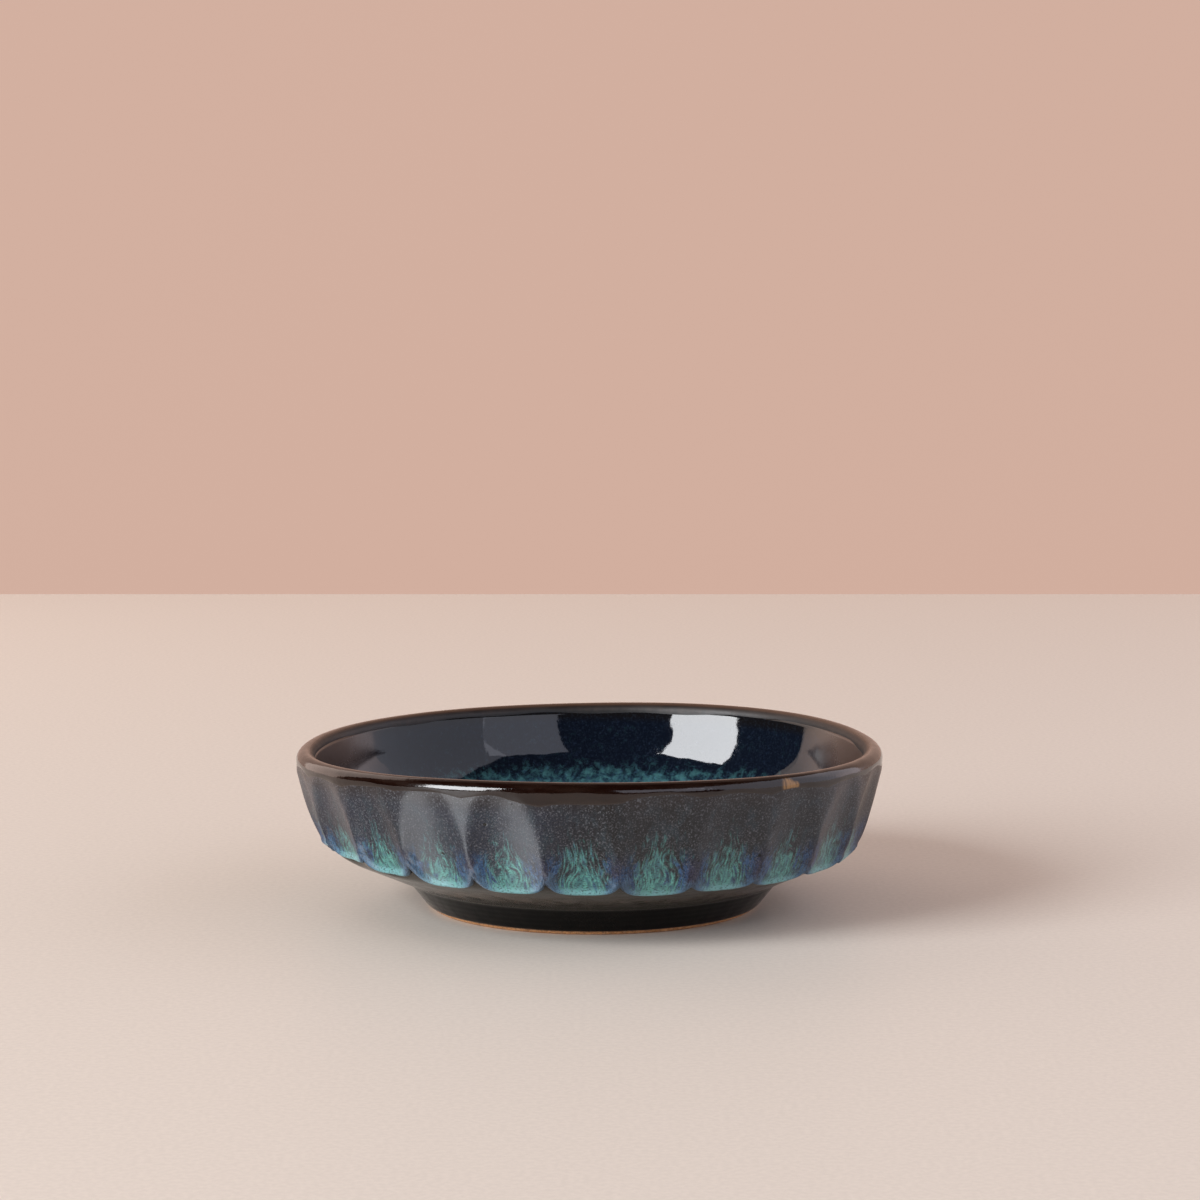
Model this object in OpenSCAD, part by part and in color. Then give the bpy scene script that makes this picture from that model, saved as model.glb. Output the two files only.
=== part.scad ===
// Soy sauce dish: a fluted stoneware saucer-bowl on a low foot ring, under several glaze coats.
// The origin is the centre of the foot on the table, and the dish's axis is +Z.
// The outside is drawn as the finished surface, and each layer below it is that surface, offset.

/* [Dish] */
// Diameter over the rim
dish_d = 100; // [94:1:106]
// Height from the table to the top of the rim
dish_h = 28; // [27:0.5:30]

/* [Rim and wall] */
// Thickness of the lip, coats included
lip_t = 3.2; // [2.8:0.1:3.8]
// Height of the upright lip band, from the top of the rim down
band_h = 3.5; // [3:0.1:4.5]
// Lean of the outer wall from upright
wall_lean = 13; // [11:0.5:15]
// Lean of the inner wall from upright
inner_lean = 12; // [10:0.5:14]
// Radius that turns the outer wall under
shoulder_r = 10; // [9:0.5:11]
// Slope of the underside from level
under_rise = 24; // [22:0.5:25]

/* [Well] */
// Height of the inside floor above the table, inner coat included
floor_z = 8; // [7.5:0.1:9]
// Radius that joins the inside floor to the inner wall
well_r = 18; // [17:0.5:19]

/* [Flutes] */
// Number of flutes round the wall
flute_n = 24; // [20:1:26]
// Radius of the scoop that cuts a flute
flute_r = 14; // [12:0.5:15]
// Depth of a flute just under the lip band
flute_depth = 0.45; // [0.35:0.05:0.5]
// Lean of a flute from upright
flute_lean = 20; // [19.5:0.1:20.5]
// Turn of the first flute from the front of the dish
flute_turn = -1.5; // [-7.5:0.5:7.5]

/* [Foot] */
// Overhang of the rim past the crease where the foot meets the underside
overhang = 18; // [17:0.5:19]
// Overhang of that crease past the foot's edge on the table
foot_splay = 3.9; // [3.5:0.1:4.3]
// Width of the foot on the table
foot_w = 3.6; // [3.2:0.1:4.2]
// Height of that crease
crease_z = 4.9; // [4.6:0.1:5.2]
// Height of the ceiling of the hollow, clay only
recess_z = 3.6; // [3.2:0.1:3.8]
// Lean of the hollow's wall from upright
recess_lean = 12; // [8:1:16]
// Chamfer on both edges of the foot
toe_c = 0.4; // [0.2:0.1:0.5]
// Height of the bare clay line round the foot
bare_h = 0.5; // [0.5:0.1:0.8]

/* [Seat of the foot] */
// Depth of the scored seat that the foot ring is luted into
lute_t = 0.6; // [0.4:0.1:0.8]
// Width of the scored seat
lute_w = 3; // [2:0.1:3.4]
// Gap from the hollow's wall to the seat
lute_inset = 1.2; // [1:0.1:1.6]

/* [Glaze coats] */
// Thickness of the dark base coat on the outside
base_t = 0.3; // [0.2:0.05:0.4]
// Thickness of the flowing coat over the flutes
flute_t = 0.4; // [0.3:0.05:0.5]
// Thickness of the brown band over the rim
rim_t = 0.4; // [0.3:0.05:0.5]
// Thickness of the inner coat
inner_t = 0.4; // [0.3:0.05:0.5]
// Thickness of the second coat in the well
well_t = 0.4; // [0.3:0.05:0.6]
// Thickness of the coat inside the foot
recess_t = 0.3; // [0.2:0.05:0.4]
// Drop of the rim band's outer edge below the top of the rim
rim_out_drop = 2; // [1.8:0.1:2.4]
// Drop of the rim band's inner edge below the top of the rim
rim_in_drop = 1.4; // [1.3:0.1:1.8]
// Drop of the well coat's edge below the top of the rim
well_drop = 10; // [8:0.5:12]
// Height of the flowing coat's edge where it parts over a ridge
notch_z = 11.6; // [11:0.1:12]
// Radius of a drip lobe at the foot of a flute
lobe_r = 5.2; // [4.8:0.1:5.4]
// Distance of a lobe's middle in from the rim
lobe_in = 4.8; // [4.4:0.1:5.2]
// Height of a lobe's middle
lobe_z = 12.6; // [12.4:0.1:13]

/* [Hidden] */
$fn = 96;

// Length by which a cutting shape runs past what it cuts
over = 2;
clay_off = -(base_t + flute_t);
base_off = -flute_t;
rim_off = -rim_t;

dish_r = dish_d / 2;
crease_r = dish_r - overhang;
foot_out_r = crease_r - foot_splay;
foot_in_r = foot_out_r - foot_w;
lip_r = lip_t / 2;
lip_cr = dish_r - lip_r;
lip_cz = dish_h - lip_r;
band_z = dish_h - band_h;
rim_out_z = dish_h - rim_out_drop;
rim_in_z = dish_h - rim_in_drop;
well_top_z = dish_h - well_drop;

// Half of the angle that one scoop may take, a little less than half of the flutes' pitch
scoop_share = 0.98;
scoop_half_a = scoop_share * 180 / flute_n;

// Distances from the origin to the wall's line and to the underside's line, along their normals
wall_dist = dish_r * cos(wall_lean) - band_z * sin(wall_lean);
under_dist = crease_r * sin(under_rise) - crease_z * cos(under_rise) + flute_t;

// Centre of the arc that turns the wall under
turn = wall_lean + under_rise;
wall_in = wall_dist - shoulder_r;
under_in = under_dist - shoulder_r;
shoulder_cr = (wall_in * cos(under_rise) - under_in * sin(wall_lean)) / cos(turn);
shoulder_cz = (wall_in * sin(under_rise) - under_in * cos(wall_lean)) / cos(turn);

// Angle that the shoulder turns through, and the number of turned faces that make it round
shoulder_turn = 90 - wall_lean - under_rise;
shoulder_n = 4;

// Centre of the arc between the inside floor and the inner wall
well_cz = floor_z + well_r;
well_cr = lip_cr + ((well_cz - lip_cz) * sin(inner_lean) - lip_r - well_r) / cos(inner_lean);

// Lean of the foot's outer face, and the inner edge of the seat that the foot is luted into
foot_lean = atan(foot_splay / crease_z);
lute_r = recess_wall_r(recess_z, 0) + lute_inset;

// Height where the offset wall's line meets the offset upright band
function band_low_z(off) = ((dish_r + off) * cos(wall_lean) - wall_dist - off) / sin(wall_lean);

// Radius of the underside's line at height z, offset outward by off
function under_r(z, off) = (under_dist + off + z * cos(under_rise)) / sin(under_rise);

// Radius of the foot's outer line at height z, offset outward by off
function foot_r(z, off) = foot_out_r + (off + z * sin(foot_lean)) / cos(foot_lean);

// Radius of the hollow's wall at height z, under a coat of thickness coat
function recess_wall_r(z, coat) = foot_in_r - z * tan(recess_lean) - coat / cos(recess_lean);

// Point at a distance from a centre, along a line raised from level by rise
function on_arc(cr, cz, dist, rise) = [cr + dist * cos(rise), cz + dist * sin(rise)];

// Filled section of the bowl's outside, offset from the finished surface by off
module outside_section(off) {
    arc_r = shoulder_r + off;
    lip_in = on_arc(lip_cr, lip_cz, lip_r + off, 180 - inner_lean);
    polygon([
        [0, recess_z],
        [under_r(recess_z, off), recess_z],
        for (i = [0 : shoulder_n])
            on_arc(shoulder_cr, shoulder_cz, arc_r, under_rise - 90 + i * shoulder_turn / shoulder_n),
        [dish_r + off, band_low_z(off)],
        [dish_r + off, lip_cz],
        [lip_cr, lip_cz],
        lip_in,
        [0, lip_in[1]]
    ]);
    translate([lip_cr, lip_cz]) circle(r = lip_r + off);
}

// Section of the space inside the bowl, set back into its wall by back
module inside_section(back) {
    lip_in = on_arc(lip_cr, lip_cz, lip_r - back, 180 - inner_lean);
    polygon([
        [0, floor_z - back],
        [well_cr, floor_z - back],
        [well_cr, well_cz],
        on_arc(well_cr, well_cz, well_r + back, -inner_lean),
        lip_in,
        [lip_in[0], dish_h + over],
        [0, dish_h + over]
    ]);
    translate([well_cr, well_cz]) circle(r = well_r + back);
}

// Filled section of the foot, offset from its finished outer face by off
module foot_section(off) {
    top_z = crease_z + over;
    polygon([
        [0, 0],
        [foot_r(0, off) - toe_c, 0],
        [foot_r(toe_c, off), toe_c],
        [foot_r(top_z, off), top_z],
        [0, top_z]
    ]);
}

// Section of the hollow inside the foot, under a coat of thickness coat
module recess_section(coat) {
    polygon([
        [0, -over],
        [recess_wall_r(toe_c, coat) + toe_c + over, -over],
        [recess_wall_r(toe_c, coat), toe_c],
        [recess_wall_r(recess_z - coat, coat), recess_z - coat],
        [0, recess_z - coat]
    ]);
}

// Section of the scored seat between the bowl and the foot ring
module lute_section() {
    translate([lute_r, recess_z]) square([lute_w, lute_t]);
}

// Band of section between two heights
module level_section(low_z, high_z) {
    translate([0, low_z]) square([dish_d, high_z - low_z]);
}

// Puts its children at each flute, in line with the X axis
module at_flutes() {
    for (i = [0 : flute_n - 1]) {
        rotate([0, 0, flute_turn - 90 + i * 360 / flute_n]) children();
    }
}

// The scoops of all the flutes, as they cut the surface that is offset by off, clear of each other
module scoops(off) {
    at_flutes() intersection() {
        translate([dish_r - flute_depth, 0, band_z])
            rotate([0, flute_lean, 0])
                translate([flute_r, 0, 0])
                    cylinder(r = flute_r - off, h = 2 * dish_h, center = true);
        linear_extrude(height = dish_h + over) polygon([
            [0, 0],
            [dish_d, -dish_d * tan(scoop_half_a)],
            [dish_d, dish_d * tan(scoop_half_a)]
        ]);
    }
}

// Turns its section round the axis, and cuts the flutes of the surface that is offset by off
module fluted(off) {
    difference() {
        rotate_extrude() children();
        scoops(off);
    }
}

// Fluted solid of the bowl's outside up to the rim band, offset by off
module fluted_outside(off) {
    fluted(off) intersection() {
        outside_section(off);
        level_section(0, rim_out_z);
    }
}

// Clay bowl, with its rolled lip proud of the wall and a scored seat underneath
module clay_bowl() {
    color("tan") {
        fluted(clay_off) difference() {
            outside_section(clay_off);
            inside_section(inner_t);
            lute_section();
            level_section(rim_out_z, dish_h + over);
        }
        rotate_extrude() difference() {
            outside_section(rim_off);
            inside_section(inner_t);
            level_section(0, rim_out_z);
        }
    }
}

// Clay foot ring, with the tongue that is luted into the seat
module foot_ring() {
    color("peru") rotate_extrude() {
        difference() {
            foot_section(-base_t);
            outside_section(clay_off);
            recess_section(0);
        }
        lute_section();
    }
}

// Dark base coat, from the bare line of the foot up to the rim band
module base_coat() {
    color([0.05, 0.04, 0.04]) difference() {
        fluted(base_off) intersection() {
            union() {
                outside_section(base_off);
                foot_section(0);
            }
            level_section(bare_h, rim_out_z);
        }
        fluted_outside(clay_off);
        rotate_extrude() foot_section(-base_t);
    }
}

// Region that the flowing coat covers: the wall, and a drip lobe at the foot of each flute
module flow_region() {
    rotate_extrude() level_section(notch_z, rim_out_z);
    at_flutes() translate([dish_r - lobe_in, 0, lobe_z]) sphere(r = lobe_r);
}

// Flowing coat over the flutes, with its scalloped lower edge
module flute_coat() {
    color([0.25, 0.30, 0.32]) difference() {
        intersection() {
            fluted_outside(0);
            flow_region();
        }
        fluted_outside(base_off);
    }
}

// Brown band over the lip, lower outside than inside
module rim_band() {
    color([0.24, 0.12, 0.06]) rotate_extrude() difference() {
        outside_section(0);
        outside_section(rim_off);
        inside_section(0);
        level_section(0, rim_out_z);
        translate([0, rim_out_z]) square([lip_cr, rim_in_z - rim_out_z]);
    }
}

// Navy coat over the whole inside
module inner_coat() {
    color([0.05, 0.10, 0.18]) rotate_extrude() difference() {
        inside_section(inner_t);
        inside_section(0);
        level_section(rim_in_z, 2 * well_cz);
    }
}

// Mottled second coat in the well
module well_coat() {
    color([0.08, 0.32, 0.38]) rotate_extrude() difference() {
        inside_section(0);
        inside_section(-well_t);
        level_section(well_top_z, 2 * well_cz);
    }
}

// Dark coat on the ceiling and wall of the hollow inside the foot
module recess_coat() {
    color([0.06, 0.05, 0.05]) rotate_extrude() difference() {
        recess_section(0);
        recess_section(recess_t);
        level_section(-over, bare_h);
    }
}

clay_bowl();
foot_ring();
base_coat();
flute_coat();
rim_band();
inner_coat();
well_coat();
recess_coat();
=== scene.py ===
# %% [markdown]
# # A small stoneware dish for soy sauce
#
# The dish on the table is a thrown saucer-bowl, 100 mm wide and 28 mm high. Its wall has 24
# shallow flutes, its lip is rolled, and it stands on a low foot ring. What makes it worth
# modelling is the glaze: a grey satin coat that has run down the flutes and stopped in scalloped
# drips, a brown rim, a glossy navy inside and a mottled teal well.
#
# Each coat is a separate skin, as it is on the real dish, where each is brushed or dipped on by
# itself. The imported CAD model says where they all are, and this script dresses it.

import math

import bmesh
import bpy
import numpy as np
from mathutils import Matrix, Vector


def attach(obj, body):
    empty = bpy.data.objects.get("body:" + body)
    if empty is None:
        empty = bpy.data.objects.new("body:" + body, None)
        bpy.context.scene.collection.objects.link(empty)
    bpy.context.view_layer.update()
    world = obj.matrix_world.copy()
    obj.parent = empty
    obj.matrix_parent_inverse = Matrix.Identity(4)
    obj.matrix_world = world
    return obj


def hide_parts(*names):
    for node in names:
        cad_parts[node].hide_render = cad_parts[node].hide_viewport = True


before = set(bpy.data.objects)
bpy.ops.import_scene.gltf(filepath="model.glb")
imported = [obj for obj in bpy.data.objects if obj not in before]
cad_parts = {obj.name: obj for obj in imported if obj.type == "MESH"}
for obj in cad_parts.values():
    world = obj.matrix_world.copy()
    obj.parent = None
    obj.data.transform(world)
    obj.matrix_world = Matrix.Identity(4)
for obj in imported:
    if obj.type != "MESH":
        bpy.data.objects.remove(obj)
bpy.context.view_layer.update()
MM = 0.001
print("CAD nodes:", sorted(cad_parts))

# %% [markdown]
# ## The camera
#
# The photograph looks at the dish from just above table height. A camera could be turned until
# the picture looks right, but then every proportion would be a guess. Here its place was worked
# out from the rim, the crease and the foot, which are circles of known size: 0.6 m away, about
# ten degrees above the table, with a long lens that is dipped by six degrees.

# %% Camera
SENSOR_MM = 36
LENS_MM = 104.55
CAMERA_AT = Vector((1.14, -591.5, 114.8)) * MM
CAMERA_DIP = math.radians(6.02)

camera_data = bpy.data.cameras.new("camera")
camera_data.sensor_fit = "HORIZONTAL"
camera_data.sensor_width = SENSOR_MM
camera_data.lens = LENS_MM
camera = bpy.data.objects.new("camera", camera_data)
camera.location = CAMERA_AT
camera.rotation_euler = (math.pi / 2 - CAMERA_DIP, 0, 0)
bpy.context.scene.collection.objects.link(camera)
bpy.context.scene.camera = camera
bpy.context.scene.view_settings.view_transform = "Standard"
print("camera stands", round(CAMERA_AT.length, 3), "m from the foot")

# %% [markdown]
# ## The lights
#
# A glossy dish is mostly a picture of what stands round it. The key is a window to the left and
# in front: it makes the white patch inside the bowl, the bright streak on the lip and the shadow
# on the right. Two dim, cool cards on the right give the grey panels in the left half of the
# bowl, and a warm one behind on the left gives the pale crescent in the right half. A lamp is
# placed by two angles seen from the dish, because a reflection depends on angles and hardly on
# distance. The room itself is left dark in reflections, which keeps the navy deep, while the same
# room, through Light Path, still fills the shadow with warm light.

# %% Lamps
AIM_AT = Vector((0, 0, 18)) * MM


def add_lamp(name, azimuth, elevation, distance, spread, radiance, tint):
    """Adds a lamp that faces the dish and spans two angles.

    Azimuth runs from the camera's side towards +X, and elevation upwards, both in degrees.
    """
    a, e = math.radians(azimuth), math.radians(elevation)
    out = Vector((math.sin(a) * math.cos(e), -math.cos(a) * math.cos(e), math.sin(e)))
    data = bpy.data.lights.new(name, "AREA")
    data.shape = "RECTANGLE"
    data.size, data.size_y = (2 * distance * math.tan(math.radians(angle / 2)) for angle in spread)
    data.energy = radiance * math.pi * data.size * data.size_y
    data.color = tint
    lamp = bpy.data.objects.new(name, data)
    lamp.location = AIM_AT + out * distance
    lamp.rotation_euler = out.to_track_quat("Z", "Y").to_euler()
    lamp.visible_camera = False
    bpy.context.scene.collection.objects.link(lamp)


DAYLIGHT, COOL, WARM = (0.98, 1.0, 1.03), (0.93, 0.95, 1.10), (1.0, 0.84, 0.76)
LAMPS = {
    # name: azimuth, elevation, distance in m, angles it spans, radiance, tint
    "key": (-54, 22.5, 2.0, (29, 30), 15.2, DAYLIGHT),
    "card_front_right": (31, 24, 1.6, (34, 26), 1.3, COOL),
    "card_right": (92, 24, 0.62, (82, 50), 0.95, COOL),
    "card_back_left": (-131, 24, 0.62, (42, 50), 1.05, WARM),
}
for lamp_name, values in LAMPS.items():
    add_lamp(lamp_name, *values)

ROOM_COLOUR = (1.0, 0.77, 0.65, 1)
ROOM_FILL, ROOM_IN_GLOSS, ROOM_SEEN = 0.37, 0.032, 0.7
world = bpy.data.worlds.new("room")
world.use_nodes = True
sky = world.node_tree
paths = sky.nodes.new("ShaderNodeLightPath").outputs
strength = sky.nodes.new("ShaderNodeMapRange")
sky.links.new(paths["Is Glossy Ray"], strength.inputs[0])
strength.inputs[3].default_value = ROOM_FILL
strength.inputs[4].default_value = ROOM_IN_GLOSS
shown = sky.nodes.new("ShaderNodeMix")
sky.links.new(paths["Is Camera Ray"], shown.inputs[0])
sky.links.new(strength.outputs[0], shown.inputs[2])
shown.inputs[3].default_value = ROOM_SEEN
sky.links.new(shown.outputs[0], sky.nodes["Background"].inputs["Strength"])
sky.nodes["Background"].inputs["Color"].default_value = ROOM_COLOUR
bpy.context.scene.world = world

# %% [markdown]
# ## Small helpers for materials
#
# A material is a tree of nodes, and most of its lines would only make a node and join its
# sockets. One helper does that: it takes the node's kind and a dictionary from socket to value,
# where a value is either a number or another node's output.

# %% Node helpers
def put(tree, kind, sockets=None, **settings):
    """Adds a node, sets its settings, then links or fills its input sockets."""
    made = tree.nodes.new("ShaderNode" + kind)
    for key, value in settings.items():
        setattr(made, key, value)
    for key, value in (sockets or {}).items():
        if isinstance(value, bpy.types.NodeSocket):
            tree.links.new(value, made.inputs[key])
        else:
            made.inputs[key].default_value = value
    return made


def sum_of(tree, kind, *values):
    """Result of a Math node, such as ADD or MULTIPLY, on sockets or numbers."""
    return put(tree, "Math", dict(enumerate(values)), operation=kind).outputs[0]


def ease(tree, value, low, high, to_low=0.0, to_high=1.0):
    """Smooth step of a value between low and high."""
    return put(tree, "MapRange", {0: value, 1: low, 2: high, 3: to_low, 4: to_high},
               interpolation_type="SMOOTHSTEP").outputs[0]


def blend(tree, share, first, second):
    """Mixes two colours. Colours are written as three numbers or come from a socket."""
    ends = [c if isinstance(c, bpy.types.NodeSocket) else (*c, 1) for c in (first, second)]
    return put(tree, "Mix", {0: share, 6: ends[0], 7: ends[1]}, data_type="RGBA").outputs[2]


def grain(tree, place, scale, detail=3.0, rough=0.55, warp=0.0):
    """Noise value at a place, from about 0.25 to 0.75."""
    return put(tree, "TexNoise", {"Vector": place, "Scale": scale, "Detail": detail,
                                  "Roughness": rough, "Distortion": warp}).outputs[0]


def stretch(tree, place, scale, shift=(0, 0, 0)):
    """Place scaled along its axes."""
    return put(tree, "Mapping", {"Vector": place, "Scale": scale, "Location": shift}).outputs[0]


def own(tree, name):
    """Output sockets of an attribute that the piece carries."""
    return put(tree, "Attribute", attribute_name=name).outputs


def object_place(tree, scale=1000):
    """Place on the object, in millimetres unless another scale is given."""
    return stretch(tree, put(tree, "TexCoord").outputs["Object"], (scale, scale, scale))


def axis_of(tree, place, axis):
    """One coordinate of a place."""
    return put(tree, "SeparateXYZ", {0: place}).outputs[axis]


def tinged(tree, colour, mask, share, tint):
    """Colour with a share of a tint wherever the mask is 1."""
    return blend(tree, sum_of(tree, "MULTIPLY", mask, share), colour, tint)


def new_finish(name, **shader_values):
    """New material with its shader, whose plain values are set on the shader itself."""
    material = bpy.data.materials.new(name)
    material.use_nodes = True
    shader = material.node_tree.nodes["Principled BSDF"]
    for key, value in shader_values.items():
        shader.inputs[key.replace("_", " ")].default_value = value
    return material, material.node_tree, shader


def rough_surface(tree, shader, height, depth, roughness):
    """Joins a bump, whose depth is in millimetres, and a roughness to a shader."""
    bump = put(tree, "Bump", {"Height": height, "Distance": depth * MM, "Strength": 1.0})
    tree.links.new(bump.outputs[0], shader.inputs["Normal"])
    tree.links.new(roughness, shader.inputs["Roughness"])


# %% [markdown]
# ## Floor and backdrop
#
# The dish stands on a pale table in front of a warm wall. Both are plain sheets outside the dish's
# bodies, so that they don't count as parts of the dish. The wall glows faintly in its own colour,
# so no lamp has to be spent on it. Its glow fades with height, above what the camera sees, because
# the lip mirrors the top of the wall and would otherwise turn pale.

# %% Floor and backdrop
TABLE_COLOUR, TABLE_GRAIN, GRAIN_SHADE = (0.73, 0.68, 0.615), 1100, 0.93
WALL_COLOUR, WALL_UNLIT = (0.595, 0.390, 0.312), (0.02, 0.0135, 0.011, 1)
FADE_FROM, FADE_TO, FADED = 0.22, 0.60, 0.35
WALL_Y = 0.515
FLOOR_HALF, WALL_HALF = 2.0, 1.4


def sheet_of(name, half, move, tilt):
    """Square sheet made with a grid, tilted about X and moved into place."""
    bm = bmesh.new()
    bmesh.ops.create_grid(bm, x_segments=1, y_segments=1, size=half)
    bmesh.ops.rotate(bm, verts=bm.verts, matrix=tilt)
    bmesh.ops.translate(bm, verts=bm.verts, vec=move)
    mesh = bpy.data.meshes.new(name)
    bm.to_mesh(mesh)
    bm.free()
    made = bpy.data.objects.new(name, mesh)
    bpy.context.scene.collection.objects.link(made)
    return made


floor = sheet_of("table_top", FLOOR_HALF, (0, WALL_Y - FLOOR_HALF, 0), Matrix.Identity(3))
wall = sheet_of("back_wall", WALL_HALF, (0, WALL_Y, 0), Matrix.Rotation(math.pi / 2, 3, "X"))

table_finish, tree, shader = new_finish("table_paint", Roughness=0.5)
place = object_place(tree, 1)
fine = ease(tree, grain(tree, place, TABLE_GRAIN, 4), 0.3, 0.7)
tint = blend(tree, fine, tuple(GRAIN_SHADE * c for c in TABLE_COLOUR), TABLE_COLOUR)
tree.links.new(tint, shader.inputs["Base Color"])
floor.data.materials.append(table_finish)

wall_finish, tree, shader = new_finish("wall_paint", Roughness=0.9, Emission_Strength=1.0)
shader.inputs["Base Color"].default_value = WALL_UNLIT
# Painted shade: the glow is dimmer high up, standing for the top of the wall lying in shadow.
faded = ease(tree, axis_of(tree, object_place(tree, 1), "Z"), FADE_FROM, FADE_TO)
glow = blend(tree, faded, WALL_COLOUR, tuple(FADED * c for c in WALL_COLOUR))
tree.links.new(glow, shader.inputs["Emission Color"])
wall.data.materials.append(wall_finish)
print("table edge at", WALL_Y, "m behind the dish")

# %% [markdown]
# ## One line for the whole section
#
# A potter's profile is a single line from the middle of the well, over the lip and down to the
# foot. Here it is a table of points with a run, the distance along the line in millimetres: 0 on
# the top of the lip, negative inside, positive outside. Every coat can then say where it starts
# and ends by its run, and the line alone is enough to place it.

# %% Profile of the finished dish
DISH_R, DISH_H = 50.0, 28.0
LIP_R = 1.6
BAND_Z = 24.5
WALL_LEAN, UNDER_RISE, INNER_LEAN = (math.radians(a) for a in (13, 24, 12))
SHOULDER_R, SHOULDER_AT = 10.0, (38.30, 18.20)
WELL_R, WELL_AT = 18.0, (28.28, 26.0)
CREASE_R = 32.0
STEP = 0.05
EASED_POINTS = 17


def arc_points(centre, radius, start, stop):
    """Points of an arc between two angles, about STEP apart."""
    turn = np.linspace(start, stop, max(2, int(radius * abs(stop - start) / STEP)))
    return np.stack([centre[0] + radius * np.cos(turn), centre[1] + radius * np.sin(turn)], 1)


lip_at = (DISH_R - LIP_R, DISH_H - LIP_R)
inside = np.concatenate([
    [[0.0, WELL_AT[1] - WELL_R]],
    arc_points(WELL_AT, WELL_R, -math.pi / 2, -INNER_LEAN),
    arc_points(lip_at, LIP_R, math.pi - INNER_LEAN, math.pi / 2),
])
shoulder = arc_points(SHOULDER_AT, SHOULDER_R, -WALL_LEAN, UNDER_RISE - math.pi / 2)
under_end = shoulder[-1] - (shoulder[-1][0] - CREASE_R + 1) * np.array([1, math.tan(UNDER_RISE)])
outside = np.concatenate([
    arc_points(lip_at, LIP_R, math.pi / 2, 0), [[DISH_R, BAND_Z]], shoulder, [under_end]])


def smoothed(line, count):
    """Line whose points are each the weighted mean of count neighbours. Its ends stay in place."""
    weight = np.hanning(count)
    weight /= weight.sum()
    aside = count // 2
    padded = np.pad(line, ((aside, aside), (0, 0)), mode="reflect", reflect_type="odd")
    return np.stack([np.convolve(padded[:, i], weight, "valid") for i in (0, 1)], 1)


def even_line(points):
    """The same line with a point every STEP, and its corners eased as a wet sponge would."""
    gap = np.r_[0, np.cumsum(np.hypot(*np.diff(points, axis=0).T))]
    run = np.arange(0, gap[-1], STEP)
    line = np.stack([np.interp(run, gap, points[:, i]) for i in (0, 1)], 1)
    return run, smoothed(line, EASED_POINTS)


run_in, line_in = even_line(inside)
run_out, line_out = even_line(outside[1:])
RUN = np.r_[run_in - run_in[-1], run_out + STEP]
LINE = np.concatenate([line_in, line_out])
slope = np.gradient(LINE, axis=0)
slope /= np.linalg.norm(slope, axis=1)[:, None]
NORMAL = np.stack([-slope[:, 1], slope[:, 0]], 1)
AXIS_RUN, CREASE_RUN = RUN[0], RUN[-1]
print(f"section runs from {AXIS_RUN:.1f} mm in the well to {CREASE_RUN:.1f} mm under the dish")


def at_run(table, run):
    """Both columns of a section table at a run."""
    return np.interp(run, RUN, table[:, 0]), np.interp(run, RUN, table[:, 1])


def run_at_z(z, outside_line=True):
    """Run of the first point below the lip that is as low as z."""
    side = np.where(RUN > 0)[0] if outside_line else np.where(RUN < 0)[0][::-1]
    below = side[LINE[side, 1] <= z]
    return float(RUN[below[0]])


# %% [markdown]
# ## Flutes, and the unevenness of a hand-made rim
#
# Each flute is a scoop cut with a loop tool that leans more than the wall, so it is shallow under
# the lip and deep at the shoulder. Its depth is the wall's distance from the tool's path, less
# the rise of the tool's round edge to either side. A soft maximum keeps the ridges from turning
# sharp. The rim of the real dish isn't quite level either. A few waves round the rim give its
# highs and lows, and they fade out towards the foot, which is ground flat.

# %% Shape of the flutes and the rim
FLUTES = 24
PITCH = 2 * math.pi / FLUTES
FLUTE_TURN = math.radians(-1.5)
TOOL_R = 14.0
TOOL_LEAN = math.radians(20)
TOOL_TOUCH = (49.45, 24.6)
RIDGE_SOFT = 0.45
FLUTE_FROM, FLUTE_FULL = 1.8, 3.2
RIM_SHARE = 0.8
WAVE_FROM_Z, CALM_R = 6.0, 25
RIM_WAVES = ((1, 0.0, 0.37), (2, 0.51, -0.23), (3, 0.25, 0.03), (4, -0.05, -0.05))
OVAL_5, OVAL_9 = 0.0020, 0.0012
LEAN_X, LEAN_FROM_Z, LEAN_TO_Z = -0.65, 4.0, 18.0

dice = np.random.default_rng(11)
flute_depth_share = dice.uniform(0.85, 1.1, FLUTES)
flute_shift = np.radians(dice.uniform(-0.35, 0.35, FLUTES))


def soft_step(value, low, high):
    """Smooth step from 0 at low to 1 at high."""
    t = np.clip((value - low) / (high - low), 0, 1)
    return t * t * (3 - 2 * t)


def flute_of(turn):
    """Flute number at a turn, and the place across it: 0 in its middle, -1 or 1 at a ridge."""
    count = (turn - FLUTE_TURN) / PITCH
    number = np.round(count).astype(int)
    return number % FLUTES, 2 * (count - number)


def flute_depth(turn, run):
    """Depth of the flutes below the plain wall."""
    r, z = at_run(LINE, run)
    nr, nz = at_run(NORMAL, run)
    number, across = flute_of(turn)
    aside = r * (across * PITCH / 2 - flute_shift[number] * (1 - across ** 2))
    over = (r - TOOL_TOUCH[0]) * math.cos(TOOL_LEAN) - (z - TOOL_TOUCH[1]) * math.sin(TOOL_LEAN)
    raw = over * flute_depth_share[number] - aside ** 2 / (2 * TOOL_R)
    near = np.maximum(RIDGE_SOFT - np.abs(raw), 0) / RIDGE_SOFT
    depth = np.maximum(raw, 0) + near ** 2 * RIDGE_SOFT / 4
    facing = np.maximum(nr * math.cos(TOOL_LEAN) - nz * math.sin(TOOL_LEAN), 0.6)
    return depth / facing * soft_step(run, FLUTE_FROM, FLUTE_FULL)


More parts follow.
